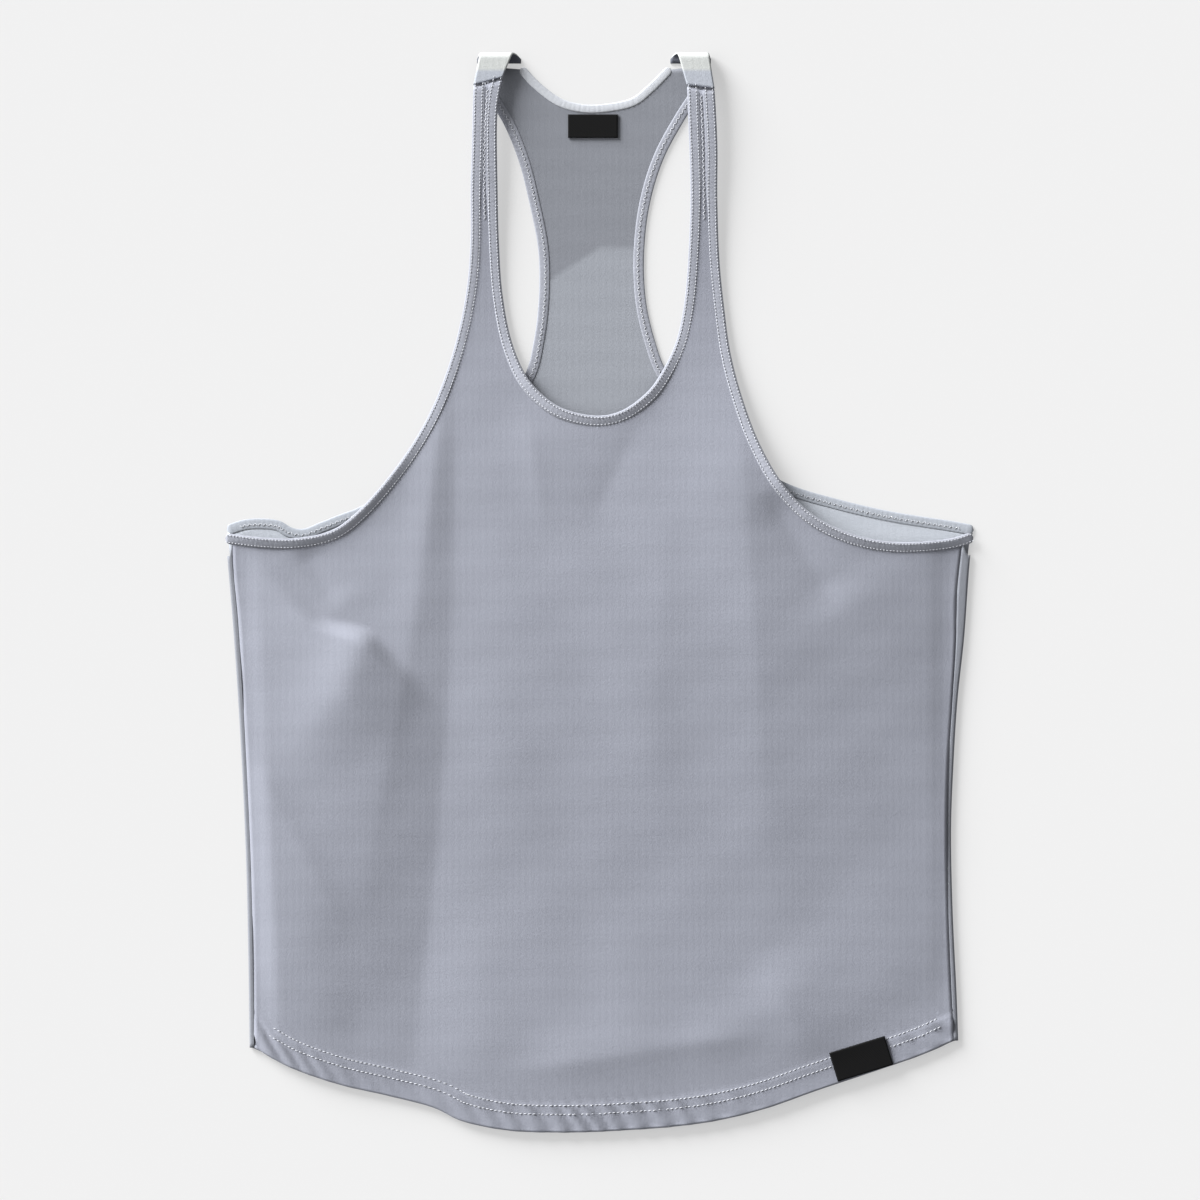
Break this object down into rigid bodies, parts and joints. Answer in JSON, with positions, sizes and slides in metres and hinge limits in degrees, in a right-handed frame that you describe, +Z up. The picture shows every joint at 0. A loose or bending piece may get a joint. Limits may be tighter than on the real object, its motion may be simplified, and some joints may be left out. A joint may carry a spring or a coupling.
{
  "type": "tank top",
  "caption": "Racerback tank top in thin jersey with narrow straps, deep neck and deep armholes, lying flat with the front up.",
  "frame": {"origin": "middle of the garment's outline, on the surface it lies on", "axes": "+Y from the hem to the shoulders, +X to the right of the front as seen from above, +Z up from the surface, out of the front"},
  "size_m": [0.5276, 0.7594, 0.0153],
  "materials": {
    "jersey": "pale grey-lavender brushed cotton jersey, matte",
    "jersey_inside": "inside of the same jersey, matte",
    "shoulder_jersey": "outside of the back's jersey in full light, matte",
    "binding": "folded jersey strip, matte",
    "label": "black woven label, satin, bare"
  },
  "bodies": {
    "root": {"front_panel": "jersey", "back_panel": "jersey_inside", "shoulder_left": "shoulder_jersey", "shoulder_right": "shoulder_jersey", "front_neck_binding": "binding", "back_neck_binding": "binding", "front_armhole_binding_left": "binding", "front_armhole_binding_right": "binding", "back_armhole_binding_left": "binding", "back_armhole_binding_right": "binding", "neck_label": "label", "hem_label": "label"}
  },
  "joints": []
}
